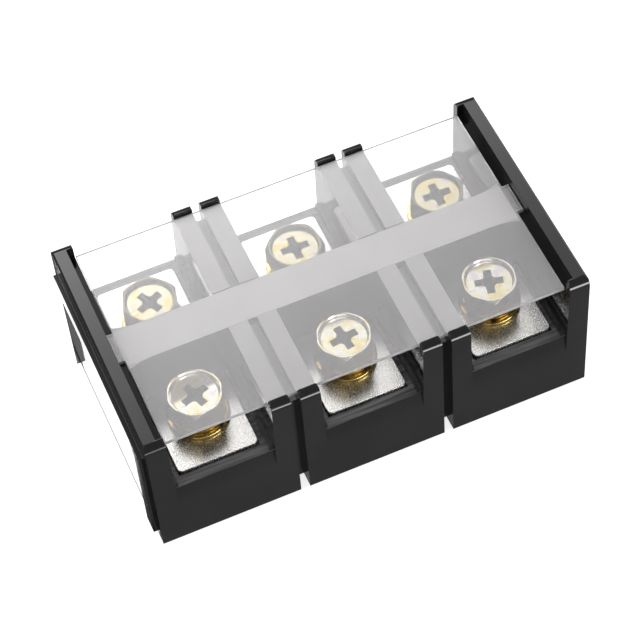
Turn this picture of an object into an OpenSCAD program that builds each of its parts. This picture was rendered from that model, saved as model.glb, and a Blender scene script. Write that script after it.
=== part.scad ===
// Barrier terminal strip: three poles, two rows of clamping screws, clear cover.
// Millimetres. +X runs along the strip, -Y is the front, +Z is up.
// The origin is the centre of the underside.

/* [Strip] */
// Distance from one pole to the next
pole_pitch = 31; // [29:0.5:36]
// Gap between neighbouring poles
pole_gap = 1.9; // [1.5:0.1:2.5]
// Depth of the moulding, front to rear
depth = 52.3; // [50:0.1:58]
// Height of the two end walls
end_wall_h = 32.7; // [32:0.1:36]
// Height of the lips at the ends of the barriers
barrier_h = 31.2; // [30.6:0.1:31.6]
// Height at which the cover rests
seat_h = 29.4; // [29.2:0.1:29.8]
// Thickness of the end walls
end_wall_t = 4.2; // [3.8:0.1:4.6]
// Thickness of each barrier wall
barrier_t = 4.0; // [3:0.1:4.2]
// Radius along the top front and rear edges of the walls
edge_r = 1.8; // [1.2:0.1:2]
// How much thicker the walls are at the floor than at their tops
wall_draft = 0.3; // [0:0.1:1]

/* [Floor and spine] */
// Height of the floor beside the bars
floor_h = 16.1; // [15:0.1:16.5]
// Width of the centre spine along its top, front to rear
spine_w = 8.5; // [7:0.1:9]
// How far the top of the spine lies below the cover
spine_drop = 0.3; // [0.1:0.1:0.6]
// How much the spine widens on each side where it meets an end wall
flare_w = 1.2; // [0.4:0.1:1.5]
// Length over which the spine widens
flare_l = 6; // [3:0.5:8]
// Width of the low rib at the foot of each wall
guide_w = 0.8; // [0.4:0.1:1]
// Height of the low rib above the floor
guide_h = 1.2; // [0.5:0.1:1.3]
// How far the low rib stops short of the wall ends
guide_set = 1.1; // [0.8:0.1:2.5]
// How far the top edge of the sill stands back from the wall ends
sill_set = 0.8; // [0.5:0.1:1.5]
// Height of the steep bevel along the sill
sill_bevel_h = 4; // [2:0.5:6]

/* [Webs] */
// How far the joining webs stand back from the front and rear
web_set = 2.4; // [2:0.1:4]
// Top of the joining webs
web_top = 27.3; // [25:0.1:28.5]
// Foot of the joining webs above the underside
web_foot = 1.5; // [0.5:0.1:3]
// Width of the band that the webs are made of
web_band = 3.6; // [2.5:0.1:5]

/* [Cover] */
// Thickness of the clear cover
cover_t = 0.9; // [0.7:0.1:1.3]
// Play between the ends of the cover and the end walls
cover_play_x = 0.15; // [0.1:0.05:0.4]
// Play between the cover and the lips in front of it and behind it
cover_play_y = 0.3; // [0.15:0.05:0.5]
// Width of the tab at each end of the cover
tab_w = 7; // [4:0.5:12]
// Thickness of the end walls above the ledge that carries the tab
ledge_wall_t = 2.8; // [2.5:0.1:3.3]
// How far the ledge stops short of the front and the rear
ledge_set = 1.8; // [1.8:0.1:6]

/* [Conductor bars] */
// Width of a bar
bar_w = 16.4; // [14:0.1:17]
// Thickness of a bar
bar_t = 1.2; // [0.8:0.1:1.5]
// Length of a bar
bar_l = 45.7; // [44:0.1:46]
// Height of the top of a bar
bar_top = 16.9; // [16.5:0.1:17.1]
// Distance of the screws from the centre line
screw_y = 12.1; // [11.8:0.1:12.4]

/* [Screws] */
// Thread diameter of the clamping screws
thread_d = 6; // [5.8:0.1:6]
// Size of the hexagon head across its flats
head_af = 10.4; // [9.5:0.1:10.5]
// Height of the screw head
head_h = 4.7; // [4.2:0.1:4.8]
// Depth of the dished top of the screw head
dish_depth = 1.0; // [0.5:0.1:1.2]
// Length of the screw below its head
shank_l = 12; // [10.5:0.5:12.5]
// Outer diameter of the flat washer
flat_od = 12.4; // [12:0.1:12.5]
// Thickness of the flat washer
flat_t = 1.1; // [0.8:0.1:1.2]
// Outer diameter of the spring washer
spring_od = 11; // [10.5:0.1:11.5]
// Thickness of the spring washer
spring_t = 1.6; // [1.2:0.1:1.7]
// Side of the square nut
nut_side = 10; // [10:0.1:10]
// Height of the square nut
nut_h = 5; // [4:0.1:5]

/* [Fixing] */
// Diameter of the fixing holes in the underside
fix_d = 4.2; // [3.5:0.1:5]
// Depth of the fixing holes
fix_depth = 12; // [8:0.5:12.5]

/* [Hidden] */

$fn = 64;
POLES = 3;
FRONT = -1;
REAR = 1;
eps = 0.01;

black = [0.05, 0.05, 0.055];
clear = [0.85, 0.88, 0.9, 0.35];
nickel = [0.78, 0.77, 0.74];
zinc_gold = [0.8, 0.66, 0.3];
zinc = [0.7, 0.72, 0.75];

half_d = depth / 2;
pole_w = pole_pitch - pole_gap;
strip_l = POLES * pole_pitch - pole_gap;
half_l = strip_l / 2;
rim_t = pole_gap / 2;

// Small bevels along the top edges of the walls
wall_bevel = 0.35;

// Bars, the tunnels that they pass through and the stack on top of them
bar_play = 0.15;
bar_bottom = bar_top - bar_t;
flat_top = bar_top + flat_t;
head_bottom = flat_top + spring_t;
head_top = head_bottom + head_h;
bar_hole_d = thread_d + 0.6;
bar_corner_r = 1;

// Screw: a smooth shank stands for the thread, with a small running clearance in the nut
shank_r = thread_d / 2 - 0.05;
nut_bore_r = thread_d / 2;
washer_hole_r = thread_d / 2 + 0.2;
tip_bevel = 0.8;
nut_play = 0.15;
well_r = thread_d / 2 + 0.4;
well_bottom = 5;

// Screw head: a dished top with a cross recess in it
head_corner_r = head_af / sqrt(3);
head_bevel_h = 0.65;
rim_r = head_af / 2 + 0.15;
dish_top_r = head_af / 2 - 0.25;
dish_floor_r = head_af / 2 - 0.7;
dish_floor = head_top - dish_depth;
cross_l = 5.7;
cross_w = 1.25;
cross_depth = 2.2;
cross_scoop_r = 1.35;
cross_scoop_at = 2.6;
split_w = 0.9;

function pole_x(pole) = (pole - (POLES + 1) / 2) * pole_pitch;

// Side view of a wall with rounded top front and rear edges
module wall_side(height)
{
    translate([-half_d, 0])
        square([depth, height - edge_r]);
    translate([-half_d + edge_r, 0])
        square([depth - 2 * edge_r, height]);
    for (side = [FRONT, REAR])
        translate([side * (half_d - edge_r), height - edge_r])
            circle(r = edge_r);
}

// Side view of the floor, with a bevelled sill at the front and the rear
module floor_side()
{
    polygon([
        [-half_d, 0],
        [-half_d, floor_h - sill_bevel_h],
        [-half_d + sill_set, floor_h],
        [half_d - sill_set, floor_h],
        [half_d, floor_h - sill_bevel_h],
        [half_d, 0]]);
}

// Side view of a joining web: an arch with two legs, open below
module web_side()
{
    reach = half_d - web_set;
    difference() {
        translate([-reach, web_foot])
            square([2 * reach, web_top - web_foot]);
        translate([-reach + web_band, web_foot - eps])
            square([2 * (reach - web_band), web_top - web_foot - web_band]);
    }
}

// Extrudes a side view along +X from x, over the given length
module along_x(x, length)
{
    translate([x, 0, 0])
        rotate([90, 0, 90])
            linear_extrude(length)
                children();
}

// A wall with an upright outer face at x and a drafted inner face towards +X
module wall(x, thickness, height)
{
    foot_t = thickness + wall_draft;
    intersection() {
        along_x(x, foot_t)
            wall_side(height);
        translate([x, 0, 0])
            rotate([90, 0, 0])
                linear_extrude(depth + 2, center = true)
                    polygon([
                        [0, 0],
                        [0, height - wall_bevel],
                        [wall_bevel, height],
                        [thickness - wall_bevel, height],
                        [thickness, height - wall_bevel],
                        [foot_t, floor_h],
                        [foot_t, 0]]);
    }
}

// The left side of a pole: a wall with a low rib at its foot
module pole_side(thickness, height)
{
    guide_l = depth - 2 * guide_set;
    wall(-pole_w / 2, thickness, height);
    translate([-pole_w / 2 + thickness, -guide_l / 2, floor_h - eps])
        cube([wall_draft + guide_w, guide_l, guide_h + eps]);
}

// One pole: its floor and its two sides
module pole_shell(pole)
{
    left_t = pole == 1 ? end_wall_t : barrier_t;
    right_t = pole == POLES ? end_wall_t : barrier_t;
    left_h = pole == 1 ? end_wall_h : barrier_h;
    right_h = pole == POLES ? end_wall_h : barrier_h;
    translate([pole_x(pole), 0, 0]) {
        along_x(-pole_w / 2, pole_w)
            floor_side();
        pole_side(left_t, left_h);
        mirror([1, 0, 0])
            pole_side(right_t, right_h);
    }
}

// Centre spine from one end wall to the other, widening at both ends
module spine()
{
    spine_l = strip_l - end_wall_t;
    top = seat_h - spine_drop;
    arc_r = (flare_l * flare_l + flare_w * flare_w) / (2 * flare_w);
    translate([-spine_l / 2, -spine_w / 2, floor_h - eps])
        cube([spine_l, spine_w, top - floor_h + eps]);
    for (end = [0, 1])
        mirror([end, 0, 0])
            for (side = [0, 1])
                mirror([0, side, 0])
                    translate([-half_l + end_wall_t, spine_w / 2, floor_h - eps])
                        linear_extrude(top - floor_h + eps)
                            difference() {
                                translate([-eps, -eps])
                                    square([flare_l + eps, flare_w + eps]);
                                translate([flare_l, arc_r])
                                    circle(r = arc_r, $fn = 256);
                            }
}

// Recesses in the barrier tops that take the cover, leaving a lip at each end
module cover_recess()
{
    room_l = strip_l - 2 * end_wall_t;
    room_d = depth - 2 * edge_r;
    translate([-room_l / 2, -room_d / 2, seat_h])
        cube([room_l, room_d, end_wall_h]);
}

// Ledges inside the end walls that take the cover's tabs
module cover_ledges()
{
    ledge_l = strip_l - 2 * ledge_wall_t;
    ledge_d = depth - 2 * ledge_set;
    translate([-ledge_l / 2, -ledge_d / 2, seat_h])
        cube([ledge_l, ledge_d, end_wall_h]);
}

// Shallow groove that keeps the spine level between the barrier tops
module spine_groove()
{
    groove_l = strip_l - 2 * end_wall_t;
    translate([-groove_l / 2, -spine_w / 2, seat_h - spine_drop])
        cube([groove_l, spine_w, end_wall_h]);
}

// Pocket for a bar, its two nuts and the screw tips
module bar_pocket(pole)
{
    pocket_w = bar_w + 2 * bar_play;
    pocket_l = bar_l + 2 * bar_play;
    translate([pole_x(pole), 0, 0]) {
        translate([-pocket_w / 2, -pocket_l / 2, bar_bottom])
            cube([pocket_w, pocket_l, bar_t + bar_play]);
        for (side = [FRONT, REAR])
            translate([0, side * screw_y, 0]) {
                nut_room = nut_side + 2 * nut_play;
                translate([-nut_room / 2, -nut_room / 2, bar_bottom - nut_h])
                    cube([nut_room, nut_room, nut_h + eps]);
                translate([0, 0, well_bottom])
                    cylinder(r = well_r, h = bar_bottom - well_bottom);
            }
    }
}

module base_moulding()
{
    color(black)
        difference() {
            union() {
                for (pole = [1:POLES])
                    pole_shell(pole);
                for (pole = [1:POLES - 1])
                    along_x(pole_x(pole) + pole_w / 2 - eps, pole_gap + 2 * eps)
                        web_side();
                along_x(-half_l - rim_t, rim_t + eps)
                    web_side();
                along_x(half_l - eps, rim_t + eps)
                    web_side();
                spine();
            }
            cover_recess();
            cover_ledges();
            spine_groove();
            for (pole = [1:POLES])
                bar_pocket(pole);
            for (pole = [1, POLES])
                translate([pole_x(pole), 0, -eps])
                    cylinder(d = fix_d, h = fix_depth + eps);
        }
}

module cover()
{
    plate_l = strip_l - 2 * end_wall_t - 2 * cover_play_x;
    plate_d = depth - 2 * edge_r - 2 * cover_play_y;
    tab_l = strip_l - 2 * ledge_wall_t - 2 * cover_play_x;
    color(clear)
        translate([0, 0, seat_h]) {
            translate([-plate_l / 2, -plate_d / 2, 0])
                cube([plate_l, plate_d, cover_t]);
            translate([-tab_l / 2, -tab_w / 2, 0])
                cube([tab_l, tab_w, cover_t]);
        }
}

module bar(pole)
{
    color(nickel)
        translate([pole_x(pole), 0, bar_bottom])
            difference() {
                linear_extrude(bar_t)
                    bar_outline();
                for (side = [FRONT, REAR])
                    translate([0, side * screw_y, -eps])
                        cylinder(d = bar_hole_d, h = bar_t + 2 * eps);
            }
}

module bar_outline()
{
    inner_w = bar_w - 2 * bar_corner_r;
    inner_l = bar_l - 2 * bar_corner_r;
    square([bar_w, inner_l], center = true);
    square([inner_w, bar_l], center = true);
    for (x = [-inner_w / 2, inner_w / 2])
        for (y = [-inner_l / 2, inner_l / 2])
            translate([x, y])
                circle(r = bar_corner_r);
}

// Moves its children to one terminal's screw axis
module at_terminal(pole, side)
{
    translate([pole_x(pole), side * screw_y, 0])
        children();
}

// Outline of the cross recess: two arms whose inner corners are scooped out
module cross_outline()
{
    core_side = sqrt(2) * cross_scoop_at;
    square([cross_l, cross_w], center = true);
    square([cross_w, cross_l], center = true);
    difference() {
        square(core_side, center = true);
        for (angle = [45:90:315])
            rotate(angle)
                translate([cross_scoop_at, 0])
                    circle(r = cross_scoop_r);
    }
}

// Cross recess, sunk into the dished top of a screw head
module cross_recess()
{
    translate([0, 0, dish_floor - cross_depth])
        linear_extrude(cross_depth + eps)
            cross_outline();
}

// Screw: a bevelled hexagon head on a plain shank
module terminal_screw(pole, side, head_turn, cross_turn)
{
    color(zinc_gold)
        at_terminal(pole, side)
            difference() {
                union() {
                    intersection() {
                        translate([0, 0, head_bottom])
                            rotate([0, 0, head_turn])
                                cylinder(r = head_corner_r, h = head_h, $fn = 6);
                        head_envelope();
                    }
                    translate([0, 0, head_bottom - shank_l + tip_bevel])
                        cylinder(r = shank_r, h = shank_l - tip_bevel + eps);
                    translate([0, 0, head_bottom - shank_l])
                        cylinder(r1 = shank_r - tip_bevel, r2 = shank_r, h = tip_bevel);
                }
                translate([0, 0, dish_floor])
                    cylinder(r1 = dish_floor_r, r2 = dish_top_r, h = dish_depth + eps);
                rotate([0, 0, cross_turn])
                    cross_recess();
            }
}

// Round envelope that bevels the corners of a screw head
module head_envelope()
{
    translate([0, 0, head_bottom])
        cylinder(r = head_corner_r + 1, h = head_h - head_bevel_h);
    translate([0, 0, head_top - head_bevel_h])
        cylinder(r1 = head_corner_r, r2 = rim_r, h = head_bevel_h);
}

module spring_washer(pole, side)
{
    color(zinc_gold)
        at_terminal(pole, side)
            translate([0, 0, flat_top])
                difference() {
                    cylinder(d = spring_od, h = spring_t);
                    translate([0, 0, -eps])
                        cylinder(r = washer_hole_r, h = spring_t + 2 * eps);
                    rotate([0, 0, side * 45])
                        translate([0, -split_w / 2, -eps])
                            cube([spring_od, split_w, spring_t + 2 * eps]);
                }
}

module flat_washer(pole, side)
{
    color(zinc_gold)
        at_terminal(pole, side)
            translate([0, 0, bar_top])
                difference() {
                    cylinder(d = flat_od, h = flat_t);
                    translate([0, 0, -eps])
                        cylinder(r = washer_hole_r, h = flat_t + 2 * eps);
                }
}

module square_nut(pole, side)
{
    color(zinc)
        at_terminal(pole, side)
            translate([0, 0, bar_bottom - nut_h])
                difference() {
                    translate([-nut_side / 2, -nut_side / 2, 0])
                        cube([nut_side, nut_side, nut_h]);
                    translate([0, 0, -eps])
                        cylinder(r = nut_bore_r, h = nut_h + 2 * eps);
                }
}

base_moulding();
cover();
bar(1);  // bar_1
bar(2);  // bar_2
bar(3);  // bar_3
terminal_screw(1, FRONT, 10, 19);  // screw_front_1
terminal_screw(2, FRONT, 10, 7);  // screw_front_2
terminal_screw(3, FRONT, 17, -15);  // screw_front_3
terminal_screw(1, REAR, 11, 26);  // screw_rear_1
terminal_screw(2, REAR, 41, -2);  // screw_rear_2
terminal_screw(3, REAR, 3, -2);  // screw_rear_3
spring_washer(1, FRONT);  // spring_washer_front_1
spring_washer(2, FRONT);  // spring_washer_front_2
spring_washer(3, FRONT);  // spring_washer_front_3
spring_washer(1, REAR);  // spring_washer_rear_1
spring_washer(2, REAR);  // spring_washer_rear_2
spring_washer(3, REAR);  // spring_washer_rear_3
flat_washer(1, FRONT);  // flat_washer_front_1
flat_washer(2, FRONT);  // flat_washer_front_2
flat_washer(3, FRONT);  // flat_washer_front_3
flat_washer(1, REAR);  // flat_washer_rear_1
flat_washer(2, REAR);  // flat_washer_rear_2
flat_washer(3, REAR);  // flat_washer_rear_3
square_nut(1, FRONT);  // nut_front_1
square_nut(2, FRONT);  // nut_front_2
square_nut(3, FRONT);  // nut_front_3
square_nut(1, REAR);  // nut_rear_1
square_nut(2, REAR);  // nut_rear_2
square_nut(3, REAR);  // nut_rear_3
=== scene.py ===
import math

import bmesh
import bpy
from mathutils import Matrix, Vector


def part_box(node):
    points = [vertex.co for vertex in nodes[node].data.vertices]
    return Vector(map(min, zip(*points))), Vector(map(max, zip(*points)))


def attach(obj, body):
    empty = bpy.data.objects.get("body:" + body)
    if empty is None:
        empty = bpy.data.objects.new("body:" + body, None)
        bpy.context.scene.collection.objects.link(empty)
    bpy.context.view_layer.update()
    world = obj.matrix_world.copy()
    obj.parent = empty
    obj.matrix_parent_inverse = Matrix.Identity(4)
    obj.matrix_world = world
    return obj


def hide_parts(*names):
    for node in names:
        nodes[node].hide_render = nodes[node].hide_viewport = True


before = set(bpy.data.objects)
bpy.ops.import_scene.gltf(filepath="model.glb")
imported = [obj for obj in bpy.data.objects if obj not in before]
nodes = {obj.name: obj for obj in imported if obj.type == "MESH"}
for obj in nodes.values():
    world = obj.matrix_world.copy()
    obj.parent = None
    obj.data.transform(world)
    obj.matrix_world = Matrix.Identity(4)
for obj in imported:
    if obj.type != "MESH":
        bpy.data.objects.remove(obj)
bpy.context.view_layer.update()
scene = bpy.context.scene

MM = 0.001
TERMINALS = [(side, pole) for side in ("front", "rear") for pole in (1, 2, 3)]


def axis_of(name):
    """The upright axis through the middle of a node's box, as a point at z = 0."""
    low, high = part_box(name)
    return Vector(((low.x + high.x) / 2, (low.y + high.y) / 2, 0.0))


# screws, washers and thread
PITCH = axis_of("screw_front_2").x - axis_of("screw_front_1").x
SCREW_Y = axis_of("screw_rear_1").y
SHANK_BOTTOM, HEAD_TOP = (corner.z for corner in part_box("screw_front_1"))
HEAD_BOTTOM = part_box("spring_washer_front_1")[1].z
DISH_FLOOR = HEAD_TOP - 1.0 * MM
CROSS_TURN = {("front", 1): 19, ("front", 2): 7, ("front", 3): -15,
              ("rear", 1): 26, ("rear", 2): -2, ("rear", 3): -2}
WASHER_BORE = 3.2 * MM
SPRING_RISE = 0.12 * MM
SPRING_GAP = 6
THREAD_CREST = 2.95 * MM
THREAD_ROOT = 2.45 * MM
THREAD_PITCH = 1.0 * MM
THREAD_STEPS = 30
COVER_GAP = 0.03 * MM

# widths of the rounded edges
EDGE_MOULDED = 0.22 * MM
EDGE_SHEET = 0.12 * MM
EDGE_SCREW = 0.08 * MM

# what the materials tell apart by place: radii on a head, heights and distances on the moulding
DISH_RADIUS = 4.55 * MM
DISH_RIM = 4.95 * MM
CROSS_RADIUS = 3.3 * MM
HOLLOW_TILT = 0.32
HOLLOW_REACH = 6.0 * MM
# painted shade on the rear heads: a darker face, and nearly black slopes and rims as painted dark
# reflections
REAR_FACE_SHADE = (0.66, 0.63, 0.50)
REAR_SLOPE_SHADE = (0.07, 0.065, 0.055)
REAR_RIM_SHADE = (0.05, 0.05, 0.045)
# painted sheen: pale greys on the tops under the cover, in place of the light they catch
SHEEN_MID = 1.0
SHEEN_SIDE = 0.78
SHEEN_WEB = 0.60
SHEEN_HEIGHTS = (27.10 * MM, 29.45 * MM)
SHEEN_HALF_LENGTH = 41.0 * MM
SPINE_HALF_WIDTH = 4.2 * MM
WEB_TOP = 28.2 * MM
SILL_HEIGHTS = (15.90 * MM, 16.20 * MM)
LEDGE_HEIGHTS = (29.2 * MM, 29.5 * MM)
RIM_TOP = 27.5 * MM
RIM_HALF_LENGTH = 45.60 * MM
BAR_UNDER_COVER = 16.0 * MM
FINE_BUMP = 0.02 * MM


# ---------------------------------------------------------------- mesh helpers
def linked(name, bm):
    """A new object in the scene from a bmesh, which is freed."""
    mesh = bpy.data.meshes.new(name)
    bm.to_mesh(mesh)
    bm.free()
    obj = bpy.data.objects.new(name, mesh)
    scene.collection.objects.link(obj)
    return obj


def new_object(name, bm, body):
    obj = linked(name, bm)
    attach(obj, body)
    return obj


def set_smooth(bm, angle_deg):
    """Smooth faces, with edges sharper than the angle kept sharp."""
    limit = math.radians(angle_deg)
    for f in bm.faces:
        f.smooth = True
    for e in bm.edges:
        e.smooth = len(e.link_faces) != 2 or e.calc_face_angle(0.0) < limit


def solid_copy(node):
    """A clean bmesh of a CAD node: split vertices joined, flat regions in one face."""
    bm = bmesh.new()
    bm.from_mesh(nodes[node].data)
    bmesh.ops.remove_doubles(bm, verts=bm.verts, dist=0.002 * MM)
    bmesh.ops.dissolve_limit(bm, angle_limit=math.radians(0.5), verts=bm.verts, edges=bm.edges,
                             delimit={"NORMAL"})
    return bm


def rounded(node, name, body, width, angle=30.0, reshape=None):
    """The node's own shape with its sharp edges rounded to the given width."""
    bm = solid_copy(node)
    if reshape:
        reshape(bm)
    for f in bm.faces:
        f.smooth = True
    obj = new_object(name, bm, body)
    bevel = obj.modifiers.new("edge", "BEVEL")
    bevel.width = width
    bevel.segments = 2
    bevel.limit_method = "ANGLE"
    bevel.angle_limit = math.radians(angle)
    bevel.use_clamp_overlap = True
    even = obj.modifiers.new("even", "WEIGHTED_NORMAL")
    even.weight = 50
    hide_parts(node)
    return obj


def ring(bm, centre, turn, points):
    """New vertices for (r, z) points in the upright plane at the given angle about an axis."""
    return [bm.verts.new((centre.x + r * math.cos(turn), centre.y + r * math.sin(turn), z))
            for r, z in points]


def skin(bm, first, second, closed=True):
    """Faces between two rings of equally many vertices."""
    n = len(first)
    for k in range(n if closed else n - 1):
        after = (k + 1) % n
        bm.faces.new((first[k], second[k], second[after], first[after]))


def rounded_rect(r0, r1, z0, z1, radius, steps=3):
    """Closed profile of a rectangle with rounded corners, anticlockwise in (r, z)."""
    points = []
    corners = [(r1 - radius, z0 + radius, -90), (r1 - radius, z1 - radius, 0),
               (r0 + radius, z1 - radius, 90), (r0 + radius, z0 + radius, 180)]
    for cx, cz, start in corners:
        for i in range(steps + 1):
            a = math.radians(start + 90 * i / steps)
            points.append((cx + radius * math.cos(a), cz + radius * math.sin(a)))
    return points


# ---------------------------------------------------------------- materials
def material(name):
    mat = bpy.data.materials.new(name)
    mat.use_nodes = True
    tree = mat.node_tree
    shader = tree.nodes["Principled BSDF"]
    return mat, tree, shader


def node(tree, kind, **values):
    made = tree.nodes.new(kind)
    for key, value in values.items():
        if key in made.inputs:
            made.inputs[key].default_value = value
        else:
            setattr(made, key, value)
    return made


def ramp(tree, source, stops):
    """Colour that runs through the (position, colour) stops as the source goes from 0 to 1."""
    made = tree.nodes.new("ShaderNodeValToRGB")
    tree.links.new(source, made.inputs[0])
    elements = made.color_ramp.elements
    while len(elements) < len(stops):
        elements.new(0.5)
    for element, (at, colour) in zip(elements, stops):
        element.position = at
        element.color = (*colour, 1.0)
    return made.outputs["Color"]


def grey(v):
    return (v, v, v)


def position(tree):
    return tree.nodes.new("ShaderNodeTexCoord").outputs["Object"]


def spread(tree, source, low, high, out_low, out_high, soft=False):
    """The source's range low to high mapped to out_low to out_high, and held beyond it."""
    made = node(tree, "ShaderNodeMapRange")
    if soft:
        made.interpolation_type = "SMOOTHSTEP"
    tree.links.new(source, made.inputs["Value"])
    for key, value in (("From Min", low), ("From Max", high),
                       ("To Min", out_low), ("To Max", out_high)):
        made.inputs[key].default_value = value
    return made.outputs["Result"]


def above(tree, source, edge, width):
    """0 up to the edge and 1 from the given width above it."""
    return spread(tree, source, edge, edge + width, 0.0, 1.0)


def below(tree, source, edge, width):
    """1 up to the edge and 0 from the given width above it."""
    return spread(tree, source, edge, edge + width, 1.0, 0.0)


def between(tree, source, edges, width):
    return times(tree, above(tree, source, edges[0], width), below(tree, source, edges[1], width))


def math_node(tree, operation, a, b=None):
    made = node(tree, "ShaderNodeMath", operation=operation)
    for slot_index, value in enumerate((a, b)):
        if value is None:
            continue
        if isinstance(value, (int, float)):
            made.inputs[slot_index].default_value = value
        else:
            tree.links.new(value, made.inputs[slot_index])
    return made.outputs[0]


def chain(tree, operation, values):
    result = values[0]
    for value in values[1:]:
        result = math_node(tree, operation, result, value)
    return result


def times(tree, *values):
    return chain(tree, "MULTIPLY", values)


def plus(tree, *values):
    return chain(tree, "ADD", values)


def greatest(tree, *values):
    return chain(tree, "MAXIMUM", values)


def minus(tree, a, b):
    return math_node(tree, "SUBTRACT", a, b)


def ratio(tree, a, b):
    """a over b, with b kept above zero."""
    return math_node(tree, "DIVIDE", a, math_node(tree, "MAXIMUM", b, 0.001))


def size_of(tree, value):
    return math_node(tree, "ABSOLUTE", value)


def split_xyz(tree, vector):
    made = tree.nodes.new("ShaderNodeSeparateXYZ")
    tree.links.new(vector, made.inputs[0])
    return made.outputs["X"], made.outputs["Y"], made.outputs["Z"]


def facing(tree):
    """The three parts of the surface's own normal, in the object's axes."""
    return split_xyz(tree, tree.nodes.new("ShaderNodeTexCoord").outputs["Normal"])


def blend(tree, amount, a, b, mode="MIX"):
    """Colour a where amount is 0 and colour b, or a times b, where it is 1."""
    made = node(tree, "ShaderNodeMix", data_type="RGBA", blend_type=mode)
    sockets = (made.inputs["Factor"], made.inputs[6], made.inputs[7])
    for socket, value in zip(sockets, (amount, a, b)):
        if isinstance(value, tuple):
            socket.default_value = (*value, 1.0)
        elif isinstance(value, float):
            socket.default_value = value
        else:
            tree.links.new(value, socket)
    return made.outputs[2]


def lerp(tree, amount, a, b):
    """Value a where amount is 0 and value b where it is 1."""
    made = node(tree, "ShaderNodeMix", data_type="FLOAT")
    tree.links.new(amount, made.inputs["Factor"])
    for socket, value in ((made.inputs[2], a), (made.inputs[3], b)):
        if isinstance(value, (int, float)):
            socket.default_value = value
        else:
            tree.links.new(value, socket)
    return made.outputs[0]


def noise(tree, vector, scale, detail=3.0, roughness=0.55):
    made = node(tree, "ShaderNodeTexNoise", Scale=scale, Detail=detail, Roughness=roughness)
    tree.links.new(vector, made.inputs["Vector"])
    return made.outputs["Fac"]


def stretched(tree, vector, scale):
    made = tree.nodes.new("ShaderNodeMapping")
    made.inputs["Scale"].default_value = scale
    tree.links.new(vector, made.inputs["Vector"])
    return made.outputs["Vector"]


def bumped(tree, height, strength):
    made = node(tree, "ShaderNodeBump", Strength=strength, Distance=FINE_BUMP)
    tree.links.new(height, made.inputs["Height"])
    return made.outputs["Normal"]


def vector_node(tree, operation, a, b=None):
    made = node(tree, "ShaderNodeVectorMath", operation=operation)
    for slot_index, value in enumerate((a, b)):
        if value is None:
            continue
        if isinstance(value, tuple):
            made.inputs[slot_index].default_value = value
        else:
            tree.links.new(value, made.inputs[slot_index])
    return made


def facing_up(tree, nz):
    """1 on level faces that look upwards."""
    return spread(tree, nz, 0.90, 0.97, 0.0, 1.0)


def black_plastic():
    """Glossy black, with a dull pale painted sheen on the tops that the cover lies on.

    The sills' flats are painted grey as a sheen, streaked by mould marks. The end walls'
    ledges and rims, and the inner walls of the rear troughs, are less glossy than the rest.
    """
    mat, tree, shader = material("black_plastic")
    link = tree.links.new
    pos = position(tree)
    x, y, z = split_xyz(tree, pos)
    nx, _, nz = facing(tree)
    out = size_of(tree, x)
    upward = facing_up(tree, nz)

    cloud = noise(tree, pos, 60.0, 4.0)
    tone = ramp(tree, cloud, [(0.3, (0.011, 0.011, 0.012)), (0.7, (0.017, 0.017, 0.018))])
    streak = noise(tree, stretched(tree, pos, (0.15, 1.0, 1.0)), 700.0, 4.0)
    rough = plus(tree, spread(tree, cloud, 0.3, 0.7, 0.03, 0.06),
                 spread(tree, streak, 0.35, 0.7, 0.0, 0.05))

    # painted sheen: the tops under the cover are painted pale grey in place of the light they catch
    painted_sheen = times(tree, upward, between(tree, z, SHEEN_HEIGHTS, 0.1 * MM),
                 below(tree, out, SHEEN_HALF_LENGTH, 0.2 * MM))
    on_spine = below(tree, size_of(tree, y), SPINE_HALF_WIDTH, 0.15 * MM)
    sheen_tone = blend(tree, below(tree, z, WEB_TOP, 0.2 * MM),
                      blend(tree, on_spine, grey(SHEEN_SIDE), grey(SHEEN_MID)), grey(SHEEN_WEB))
    haze = ramp(tree, noise(tree, pos, 150.0, 4.0), [(0.3, grey(0.93)), (0.7, grey(1.0))])
    hazy_sheen = blend(tree, 1.0, sheen_tone, haze, mode="MULTIPLY")

    # painted sheen on the sills' flats, streaked along the strip by mould marks
    on_sill = times(tree, upward, between(tree, z, SILL_HEIGHTS, 0.1 * MM))
    marks = noise(tree, stretched(tree, pos, (0.05, 1.0, 1.0)), 1500.0, 3.0)
    sill_sheen_and_marks = ramp(tree, marks, [(0.35, grey(0.05)), (0.55, grey(0.14)), (0.7, grey(0.22))])
    body = blend(tree, on_sill, tone, sill_sheen_and_marks)

    on_ledge = times(tree, upward, between(tree, z, LEDGE_HEIGHTS, 0.1 * MM),
                     above(tree, out, SHEEN_HALF_LENGTH + 0.1 * MM, 0.1 * MM))
    on_rim = times(tree, upward, below(tree, z, RIM_TOP, 0.1 * MM),
                   above(tree, out, RIM_HALF_LENGTH, 0.05 * MM))
    rear_wall = times(tree, spread(tree, size_of(tree, nx), 0.90, 0.97, 0.0, 1.0),
                      above(tree, y, 5.0 * MM, 0.5 * MM), below(tree, y, 16.0 * MM, 4.0 * MM),
                      above(tree, z, 16.3 * MM, 0.3 * MM))
    gloss = lerp(tree, rear_wall, lerp(tree, greatest(tree, on_ledge, on_rim), 0.5, 0.12), 0.03)

    link(gloss, shader.inputs["Specular IOR Level"])
    link(blend(tree, painted_sheen, body, hazy_sheen), shader.inputs["Base Color"])
    link(lerp(tree, painted_sheen, lerp(tree, on_sill, rough, 0.30), 0.45), shader.inputs["Roughness"])
    link(bumped(tree, noise(tree, pos, 2600.0), 0.05), shader.inputs["Normal"])
    return mat


def axis_distance(tree, x, y):
    """Distance from the nearest of the six screw axes, in metres."""
    shifted = plus(tree, x, 3.5 * PITCH)
    along = minus(tree, math_node(tree, "MODULO", shifted, PITCH), PITCH / 2)
    across = minus(tree, size_of(tree, y), SCREW_Y)
    squares = plus(tree, times(tree, along, along), times(tree, across, across))
    return math_node(tree, "SQRT", squares)


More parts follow.
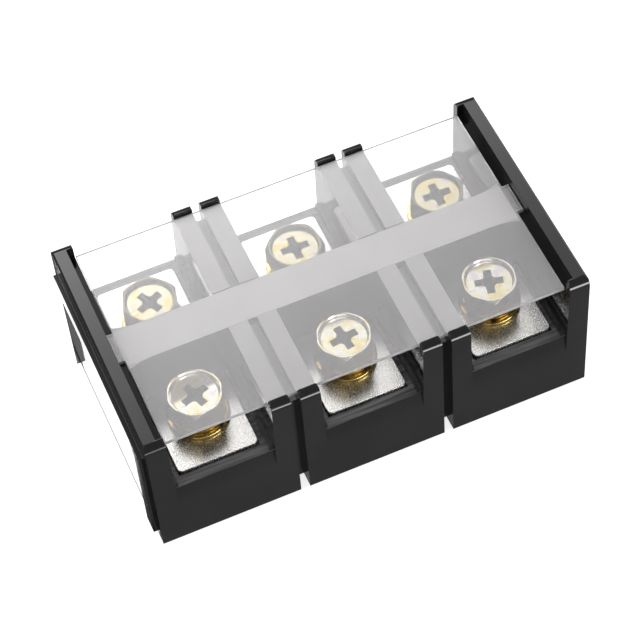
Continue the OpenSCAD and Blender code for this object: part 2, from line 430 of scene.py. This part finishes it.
def hollow_normal(tree, x, y, in_dish, upward, normal):
    """Bends the normals on the far half of the first front screw's dish.

    That half of the dish is hollow and mirrors the dark overhead.
    """
    centre = axis_of("screw_front_1")
    off_x = minus(tree, x, centre.x)
    off_y = minus(tree, y, centre.y)
    amount = times(tree, spread(tree, minus(tree, times(tree, off_x, 0.10), off_y),
                                -1.8 * MM, 0.1 * MM, HOLLOW_TILT, 0.0, soft=True),
                   below(tree, size_of(tree, off_x), HOLLOW_REACH, 0.1 * MM),
                   below(tree, off_y, HOLLOW_REACH, 0.1 * MM), in_dish, upward)
    tilt = vector_node(tree, "SCALE", (0.0, -1.0, 0.0))
    tree.links.new(amount, tilt.inputs["Scale"])
    turned = node(tree, "ShaderNodeVectorTransform", vector_type="VECTOR",
                  convert_from="OBJECT", convert_to="WORLD")
    tree.links.new(tilt.outputs[0], turned.inputs[0])
    summed = vector_node(tree, "ADD", normal, turned.outputs[0])
    return vector_node(tree, "NORMALIZE", summed.outputs[0]).outputs[0]


def yellow_zinc():
    """Yellow plated screw: pale dished top, flanks darkened by painted shade, and a dull grey
    painted shade inside the cross.

    The rear heads are darker, with nearly black rims and slopes, as they look in the photo.
    """
    mat, tree, shader = material("yellow_zinc")
    link = tree.links.new
    pos = position(tree)
    x, y, z = split_xyz(tree, pos)
    _, _, nz = facing(tree)
    radius = axis_distance(tree, x, y)
    upward = facing_up(tree, nz)
    at_rear = above(tree, y, -1.0 * MM, 2.0 * MM)

    patch = noise(tree, pos, 330.0, 3.0)
    face = ramp(tree, patch, [(0.36, (0.94, 0.80, 0.32)), (0.46, (0.97, 0.90, 0.60)),
                              (0.55, (0.97, 0.95, 0.84)), (0.66, (0.84, 0.79, 0.82))])
    # painted shade: the faces of the rear heads are darkened
    face = blend(tree, at_rear, face, REAR_FACE_SHADE, mode="MULTIPLY")
    flank_patch = noise(tree, stretched(tree, pos, (1.0, 1.0, 0.5)), 420.0, 3.0)
    # painted shade: the flanks get a dark tone for the dark surroundings they mirror
    flank_shade = ramp(tree, flank_patch, [(0.35, (0.10, 0.085, 0.06)), (0.52, (0.30, 0.24, 0.12)),
                                     (0.68, (0.20, 0.18, 0.14))])
    # painted shade: the slopes of the rear heads are nearly black
    slope = blend(tree, at_rear, (0.80, 0.77, 0.68), REAR_SLOPE_SHADE)
    side = blend(tree, spread(tree, nz, 0.15, 0.35, 0.0, 1.0), flank_shade, slope)

    in_dish = below(tree, radius, DISH_RADIUS, 0.05 * MM)
    # painted highlight: a thin lighter line at the rim of the rear heads
    painted_rim_highlight = times(tree, spread(tree, radius, DISH_RIM - 0.02 * MM, DISH_RIM + 0.02 * MM,
                                  0.0, 0.6),
                     below(tree, radius, DISH_RIM + 0.13 * MM, 0.04 * MM))
    # painted shade: the rims of the rear heads are nearly black, as a painted dark reflection
    rear_rim_shaded = times(tree, at_rear, minus(tree, 1.0, in_dish), minus(tree, 0.95, painted_rim_highlight))
    tone = blend(tree, upward, side, blend(tree, rear_rim_shaded, face, REAR_RIM_SHADE))

    # painted shade in the cross recess: a near-black, dull, non-metal colour in place of the shade
    # that falls there
    shaded_cross = times(tree, below(tree, z, DISH_FLOOR - 0.10 * MM, 0.08 * MM),
                     below(tree, radius, CROSS_RADIUS, 0.1 * MM),
                     above(tree, z, HEAD_BOTTOM, 0.2 * MM))
    scuff = noise(tree, pos, 1800.0, 4.0)
    rough = spread(tree, scuff, 0.3, 0.7, 0.12, 0.26)
    normal = hollow_normal(tree, x, y, in_dish, upward, bumped(tree, scuff, 0.10))

    link(blend(tree, shaded_cross, tone, (0.028, 0.026, 0.026)), shader.inputs["Base Color"])
    link(lerp(tree, shaded_cross, rough, 0.6), shader.inputs["Roughness"])
    link(lerp(tree, shaded_cross, 1.0, 0.0), shader.inputs["Metallic"])
    link(normal, shader.inputs["Normal"])
    return mat


def plain_metal(tree, shader, tone, grain, rough_low, rough_high, bump=None):
    """A bare metal whose roughness, and bump if any, follow the grain."""
    shader.inputs["Metallic"].default_value = 1.0
    tree.links.new(tone, shader.inputs["Base Color"])
    tree.links.new(spread(tree, grain, 0.3, 0.7, rough_low, rough_high),
                   shader.inputs["Roughness"])
    if bump:
        tree.links.new(bumped(tree, grain, bump), shader.inputs["Normal"])


def shaded_washer_zinc():
    """Yellow plating on the washers, with painted shade that makes it darker and browner than on
    the heads.
    """
    mat, tree, shader = material("shaded_washer_zinc")
    pos = position(tree)
    # painted shade: dark browns in the tone stand in for the dark surroundings the washers mirror
    tone = ramp(tree, noise(tree, pos, 380.0, 3.0),
                [(0.35, (0.22, 0.14, 0.05)), (0.5, (0.78, 0.58, 0.20)), (0.66, (0.40, 0.28, 0.12))])
    plain_metal(tree, shader, tone, noise(tree, pos, 1800.0, 4.0), 0.07, 0.16, bump=0.10)
    return mat


def nickel():
    """Speckled nickel, with a weaker grain on the part of a bar that lies under the cover."""
    mat, tree, shader = material("nickel_plate")
    pos = position(tree)
    _, y, _ = split_xyz(tree, pos)
    in_open = above(tree, size_of(tree, y), BAR_UNDER_COVER, 1.0 * MM)
    strong = noise(tree, pos, 3600.0, 3.0)
    weak = plus(tree, times(tree, strong, 0.35), 0.325)
    tone = ramp(tree, noise(tree, pos, 180.0, 3.0),
                [(0.35, (0.84, 0.83, 0.80)), (0.65, (0.93, 0.92, 0.90))])
    plain_metal(tree, shader, tone, lerp(tree, in_open, weak, strong), 0.19, 0.32, bump=0.65)
    return mat


def steel():
    """Plain zinc plated steel of the nuts."""
    mat, tree, shader = material("clear_zinc")
    grain = noise(tree, position(tree), 900.0, 4.0)
    tone = ramp(tree, grain, [(0.3, (0.52, 0.54, 0.57)), (0.7, (0.70, 0.71, 0.73))])
    plain_metal(tree, shader, tone, grain, 0.25, 0.45)
    return mat


def clear_plastic():
    """Clear sheet whose sawn edges are duller and greyer than its faces."""
    mat, tree, shader = material("clear_plastic")
    link = tree.links.new
    pos = position(tree)
    _, _, nz = facing(tree)
    edge = spread(tree, size_of(tree, nz), 0.55, 0.75, 1.0, 0.0)
    haze = noise(tree, pos, 35.0, 3.0)
    saw = noise(tree, stretched(tree, pos, (1.0, 1.0, 0.2)), 900.0, 3.0)
    tone = ramp(tree, haze, [(0.3, (0.985, 0.97, 0.975)), (0.7, (1.0, 0.99, 0.995))])
    sawn = ramp(tree, saw, [(0.3, (0.50, 0.50, 0.51)), (0.7, (0.66, 0.66, 0.67))])
    link(blend(tree, edge, tone, sawn), shader.inputs["Base Color"])
    link(lerp(tree, edge, spread(tree, haze, 0.3, 0.7, 0.0, 0.02), 0.35),
         shader.inputs["Roughness"])
    shader.inputs["IOR"].default_value = 1.49
    link(lerp(tree, edge, 0.80, 0.35), shader.inputs["Transmission Weight"])
    return mat


BLACK = black_plastic()
GOLD = yellow_zinc()
NICKEL = nickel()
STEEL = steel()
WASHER = shaded_washer_zinc()
CLEAR = clear_plastic()


def paint(obj, mat):
    obj.data.materials.clear()
    obj.data.materials.append(mat)


# ---------------------------------------------------------------- moulding, cover, bars
moulding = rounded("base_moulding", "moulding", "base", EDGE_MOULDED)
paint(moulding, BLACK)


def lift_underside(bm):
    """A hair of air below the sheet, so that it doesn't share a plane with the walls."""
    low = min(v.co.z for v in bm.verts)
    for v in bm.verts:
        if v.co.z < low + 0.01 * MM:
            v.co.z += COVER_GAP


cover = rounded("cover", "cover_plate", "cover", EDGE_SHEET,
                reshape=lift_underside)
paint(cover, CLEAR)
for k in (1, 2, 3):
    bar = rounded(f"bar_{k}", f"bar_plate_{k}", "base", EDGE_SHEET)
    paint(bar, NICKEL)
for side, pole in TERMINALS:
    paint(nodes[f"nut_{side}_{pole}"], STEEL)


# ---------------------------------------------------------------- screws and washers
def spring_washer(side, pole):
    """A split ring that climbs by SPRING_RISE from one end of its split to the other."""
    name = f"spring_washer_{side}_{pole}"
    low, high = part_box(name)
    centre = axis_of(name)
    outer = (high.x - low.x) / 2
    profile = rounded_rect(WASHER_BORE, outer, low.z, high.z - SPRING_RISE, 0.16 * MM)
    gap = math.radians(SPRING_GAP)
    start = math.radians(45 if side == "rear" else -45) + gap / 2
    steps = 96
    bm = bmesh.new()
    rings = []
    for i in range(steps + 1):
        t = i / steps
        rings.append(ring(bm, centre, start + t * (2 * math.pi - gap),
                          [(r, z + SPRING_RISE * t) for r, z in profile]))
    for first, second in zip(rings, rings[1:]):
        skin(bm, first, second)
    bm.faces.new(rings[0])
    bm.faces.new(list(reversed(rings[-1])))
    bmesh.ops.recalc_face_normals(bm, faces=bm.faces)
    set_smooth(bm, 50)
    obj = new_object(f"split_ring_{side}_{pole}", bm, f"washers_{side}_{pole}")
    paint(obj, WASHER)
    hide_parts(name)


def flat_washer(side, pole):
    name = f"flat_washer_{side}_{pole}"
    low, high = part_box(name)
    centre = axis_of(name)
    outer = (high.x - low.x) / 2
    profile = rounded_rect(WASHER_BORE, outer, low.z, high.z, 0.2 * MM)
    steps = 128
    bm = bmesh.new()
    rings = [ring(bm, centre, 2 * math.pi * i / steps, profile) for i in range(steps)]
    for first, second in zip(rings, rings[1:] + rings[:1]):
        skin(bm, first, second)
    bmesh.ops.recalc_face_normals(bm, faces=bm.faces)
    set_smooth(bm, 60)
    obj = new_object(f"plain_ring_{side}_{pole}", bm, f"washers_{side}_{pole}")
    paint(obj, WASHER)
    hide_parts(name)


def thread(side, pole):
    """One helical ridge round the drawn-in shank, as wide as the plain shank of the CAD."""
    name = f"screw_{side}_{pole}"
    centre = axis_of(name)
    foot = THREAD_ROOT - 0.05 * MM
    section = [(foot, -0.46), (THREAD_CREST, -0.07), (THREAD_CREST, 0.07), (foot, 0.46)]
    start, stop = SHANK_BOTTOM + 0.9 * MM, HEAD_BOTTOM - 0.9 * MM
    count = int((stop - start) / THREAD_PITCH * THREAD_STEPS)
    bm = bmesh.new()
    rings = []
    for i in range(count + 1):
        turns = i / THREAD_STEPS
        z = start + THREAD_PITCH * turns
        fade = min(1.0, turns, (count - i) / THREAD_STEPS)
        rings.append(ring(bm, centre, 2 * math.pi * turns,
                          [(foot + (r - foot) * fade, z + dz * THREAD_PITCH)
                           for r, dz in section]))
    for first, second in zip(rings, rings[1:]):
        skin(bm, first, second, closed=False)
    bmesh.ops.recalc_face_normals(bm, faces=bm.faces)
    set_smooth(bm, 40)
    obj = new_object(f"thread_{side}_{pole}", bm, name)
    paint(obj, GOLD)


def widened(t):
    """Moves a coordinate of the cross outwards, most at the sides of the arms."""
    size = abs(t)
    side_at, tip_at, most = 0.625 * MM, 2.85 * MM, 0.17 * MM
    if size < side_at:
        share = size / side_at
    else:
        share = max(0.0, 1 - (size - side_at) / (tip_at - side_at))
    return math.copysign(size + most * share, t)


def thinner_shank(side, pole):
    """Draws the shank in to the root of the thread and widens the cross recess."""
    centre = axis_of(f"screw_{side}_{pole}")
    turn = math.radians(CROSS_TURN[side, pole])
    drawn_in = THREAD_ROOT / THREAD_CREST

    def reshape(bm):
        for v in bm.verts:
            flat = Vector((v.co.x - centre.x, v.co.y - centre.y))
            in_recess = DISH_FLOOR - 2.3 * MM < v.co.z < DISH_FLOOR + 0.02 * MM
            if in_recess and flat.length < 3.0 * MM:
                u = flat.x * math.cos(turn) + flat.y * math.sin(turn)
                w = flat.y * math.cos(turn) - flat.x * math.sin(turn)
                u, w = widened(u), widened(w)
                v.co.x = centre.x + u * math.cos(turn) - w * math.sin(turn)
                v.co.y = centre.y + u * math.sin(turn) + w * math.cos(turn)
            if v.co.z < HEAD_BOTTOM + 0.02 * MM and 2.6 * MM < flat.length < 3.1 * MM:
                flat *= drawn_in
                v.co.x, v.co.y = centre.x + flat.x, centre.y + flat.y
    return reshape


for side, pole in TERMINALS:
    spring_washer(side, pole)
    flat_washer(side, pole)
    screw = rounded(f"screw_{side}_{pole}", f"hex_screw_{side}_{pole}", f"screw_{side}_{pole}",
                    EDGE_SCREW, angle=25.0, reshape=thinner_shank(side, pole))
    paint(screw, GOLD)
    thread(side, pole)


# ---------------------------------------------------------------- stage, light, camera
# levels of the floor as mirrors see it, by region, and as the camera sees it
FLOOR_LEFT = 2.6
FLOOR_BEHIND = 1.2
FLOOR_AHEAD = 0.6
FLOOR_FAR = 12.0
FLOOR_DIM = 0.22
FLOOR_DARK = 0.03
FLOOR_SEEN = 0.80
FLOOR_HALF_SIZE = 3.0
FLOOR_Z = -0.3 * MM
LEFT_EDGE = (-45.9 * MM, -45.6 * MM)
# the bright part at the left ends at two slanted lines: (slope, start, end) of y + slope * x
LEFT_FRONT_LINE = (5.4, -270.7 * MM, -270.0 * MM)
LEFT_REAR_LINE = (6.3, -268.5 * MM, -267.5 * MM)

# levels of the surroundings; the softbox's stops are (slope towards the rear, level)
BOX_FADE = [(0.30, 0.0), (0.52, 0.6), (0.65, 1.10), (0.715, 1.75), (0.78, 3.1), (0.95, 3.7)]
BOX_TOP = 4.0
BOX_TURN = 17
BAND_LEVEL = 12.0
BASE_LEVEL = 0.2


def direction_cap(tree, vector, centre, inner_deg, outer_deg, level):
    """A soft-edged round patch of light of the given level about a direction."""
    dot = vector_node(tree, "DOT_PRODUCT", vector, tuple(Vector(centre).normalized()))
    return spread(tree, dot.outputs["Value"], math.cos(math.radians(outer_deg)),
                  math.cos(math.radians(inner_deg)), 0.0, level, soft=True)


def plainly_seen(tree):
    """The light path node, and 1 for what is seen directly or through the clear cover alone."""
    path = tree.nodes.new("ShaderNodeLightPath")
    clean = times(tree, math_node(tree, "LESS_THAN", path.outputs["Glossy Depth"], 0.5),
                  math_node(tree, "LESS_THAN", path.outputs["Diffuse Depth"], 0.5))
    return path, math_node(tree, "MAXIMUM", path.outputs["Is Camera Ray"],
                           times(tree, path.outputs["Is Transmission Ray"], clean))


def empty_tree(owner):
    owner.use_nodes = True
    owner.node_tree.nodes.clear()
    return owner.node_tree


def floor_mirrored(tree, x, y):
    """The floor's level in mirrors: bright at the left, behind and far in front, else dim."""
    front_slope, *front_edge = LEFT_FRONT_LINE
    rear_slope, *rear_edge = LEFT_REAR_LINE
    left = times(tree, spread(tree, x, *LEFT_EDGE, FLOOR_LEFT, 0.0),
                 spread(tree, plus(tree, y, times(tree, x, front_slope)), *front_edge, 0.0, 1.0),
                 spread(tree, plus(tree, y, times(tree, x, rear_slope)), *rear_edge, 1.0, 0.0))
    behind = times(tree, spread(tree, y, 0.022, 0.030, 0.0, FLOOR_BEHIND, soft=True),
                   spread(tree, x, LEFT_EDGE[1], -0.0450, 0.0, 1.0))
    close = spread(tree, y, -0.11, -0.065, FLOOR_AHEAD, 0.0, soft=True)
    far = times(tree, spread(tree, y, -0.20, -0.12, FLOOR_FAR, 0.0, soft=True),
                spread(tree, x, -0.005, 0.02, 0.05, 1.0))
    near = spread(tree, x, *LEFT_EDGE, FLOOR_DARK, FLOOR_DIM)
    return greatest(tree, greatest(tree, left, behind),
                    greatest(tree, greatest(tree, close, far), near))


def floor_material():
    mat = bpy.data.materials.new("floor")
    tree = empty_tree(mat)
    link = tree.links.new
    out = tree.nodes.new("ShaderNodeOutputMaterial")
    path, seen = plainly_seen(tree)
    in_mirror = path.outputs["Is Glossy Ray"]
    x, y, _ = split_xyz(tree, tree.nodes.new("ShaderNodeNewGeometry").outputs["Position"])
    glow = node(tree, "ShaderNodeEmission", Color=(1.0, 1.0, 1.0, 1.0))
    link(plus(tree, times(tree, seen, FLOOR_SEEN),
              times(tree, in_mirror, floor_mirrored(tree, x, y))), glow.inputs["Strength"])
    pale = node(tree, "ShaderNodeBsdfDiffuse", Color=(0.82, 0.82, 0.82, 1.0))
    dark = node(tree, "ShaderNodeBsdfDiffuse", Color=(0.05, 0.05, 0.05, 1.0))
    pick = tree.nodes.new("ShaderNodeMixShader")
    for source, socket in zip((in_mirror, pale.outputs[0], dark.outputs[0]), pick.inputs):
        link(source, socket)
    add = tree.nodes.new("ShaderNodeAddShader")
    link(pick.outputs[0], add.inputs[0])
    link(glow.outputs[0], add.inputs[1])
    link(add.outputs[0], out.inputs["Surface"])
    return mat


def floor():
    """A wide floor, a hair below the strip so that the two don't share a plane."""
    bm = bmesh.new()
    bmesh.ops.create_grid(bm, x_segments=8, y_segments=8, size=FLOOR_HALF_SIZE)
    bmesh.ops.translate(bm, verts=bm.verts, vec=(0, 0, FLOOR_Z))
    obj = linked("floor", bm)
    paint(obj, floor_material())


def rear_softbox(tree, x, y, z):
    """One wide softbox behind and above, turned a little, that fades out towards its top."""
    fade = ramp(tree, ratio(tree, y, z), [(at, grey(level / BOX_TOP)) for at, level in BOX_FADE])
    turn = math.radians(BOX_TURN)
    forward = plus(tree, times(tree, x, math.sin(turn)), times(tree, y, math.cos(turn)))
    lateral = size_of(tree, minus(tree, times(tree, x, math.cos(turn)),
                                  times(tree, y, math.sin(turn))))
    return times(tree, fade, BOX_TOP, spread(tree, ratio(tree, x, z), -0.05, 0.60, 1.75, 0.25),
                 spread(tree, z, 0.58, 0.70, 0.0, 1.0, soft=True),
                 spread(tree, ratio(tree, lateral, forward), 0.75, 1.25, 1.0, 0.0, soft=True),
                 spread(tree, forward, 0.0, 0.1, 0.0, 1.0))


def studio():
    world = bpy.data.worlds.new("studio")
    scene.world = world
    tree = empty_tree(world)
    link = tree.links.new
    out = tree.nodes.new("ShaderNodeOutputWorld")
    toward = tree.nodes.new("ShaderNodeTexCoord").outputs["Generated"]
    x, y, z = split_xyz(tree, toward)
    rear = rear_softbox(tree, x, y, z)
    left = direction_cap(tree, toward, (-0.85, 0.05, 0.5), 18, 34, 2.6)
    right = direction_cap(tree, toward, (0.9, -0.10, 0.45), 16, 32, 2.2)
    # a narrow bright band along the horizon in front, brighter to the right
    band = times(tree, spread(tree, size_of(tree, z), 0.12, 0.23, BAND_LEVEL, 0.0, soft=True),
                 spread(tree, y, -0.75, -0.55, 1.0, 0.0, soft=True),
                 spread(tree, x, 0.10, 0.34, 0.12, 1.0, soft=True))
    level = plus(tree, plus(tree, rear, left), plus(tree, right, band))
    lit = node(tree, "ShaderNodeBackground", Color=(1, 1, 1, 1))
    link(plus(tree, level, BASE_LEVEL), lit.inputs["Strength"])
    white = node(tree, "ShaderNodeBackground", Color=(1, 1, 1, 1), Strength=1.0)
    mix = tree.nodes.new("ShaderNodeMixShader")
    for source, socket in zip((plainly_seen(tree)[1], lit.outputs[0], white.outputs[0]),
                              mix.inputs):
        link(source, socket)
    link(mix.outputs[0], out.inputs["Surface"])
    world.cycles.sampling_method = "MANUAL"
    world.cycles.sample_map_resolution = 512


floor()
studio()

# the photo's view
cam_data = bpy.data.cameras.new("camera")
cam_data.sensor_width = 36.0
cam_data.lens = 134.5
cam_data.clip_start = 0.01
cam_data.clip_end = 20.0
camera = bpy.data.objects.new("camera", cam_data)
scene.collection.objects.link(camera)
camera.location = (-0.090762, -0.263449, 0.399455)
look = Vector((0.19025, 0.55442, -0.81020)).normalized()
right = Vector((0.91693, -0.39523, -0.05514)).normalized()
up = right.cross(look).normalized()
turned = Matrix((right, up, -look)).transposed().to_4x4()
camera.matrix_world = Matrix.Translation(camera.location) @ turned
scene.camera = camera

scene.view_settings.view_transform = "Standard"
